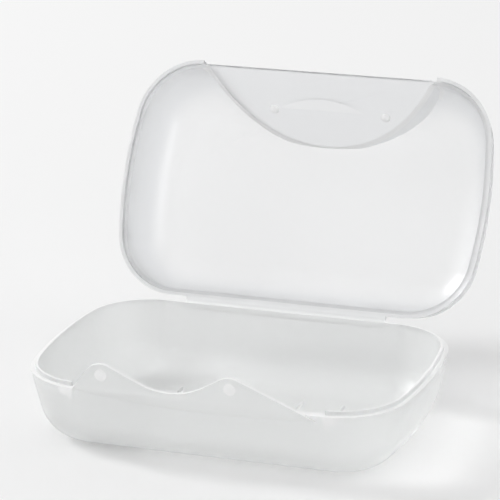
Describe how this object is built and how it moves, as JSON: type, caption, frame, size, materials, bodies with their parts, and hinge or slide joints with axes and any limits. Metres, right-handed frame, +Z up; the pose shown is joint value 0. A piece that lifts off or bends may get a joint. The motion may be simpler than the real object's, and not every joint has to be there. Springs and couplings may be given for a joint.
{
  "type": "travel soap box",
  "caption": "Clamshell travel soap box of frosted plastic: a dished tray and a dished lid on a living hinge, with a humped snap tab in front and a half-moon thumb well in the lid.",
  "frame": {"origin": "centre of the tray's flat underside, on the surface that the box stands on", "axes": "+X to the right along the rim, +Y towards the hinge at the back, +Z up out of the tray's mouth"},
  "size_m": [0.11, 0.1166, 0.0829],
  "materials": {
    "tray_plastic": "frosted translucent polypropylene",
    "lid_plastic": "frosted translucent polypropylene, thinner",
    "hinge_film": "thin bent polypropylene film"
  },
  "bodies": {
    "tray": {"tray": "tray_plastic", "living_hinge": "hinge_film"},
    "lid": {"lid": "lid_plastic"}
  },
  "joints": [
    {"name": "lid_hinge", "type": "hinge", "parent": "tray", "child": "lid", "pos_m": [0, 0.0363, 0.02065], "axis": [-1, 0, 0], "range_deg": [-118.75, 61.25], "deforming": ["living_hinge"]}
  ]
}
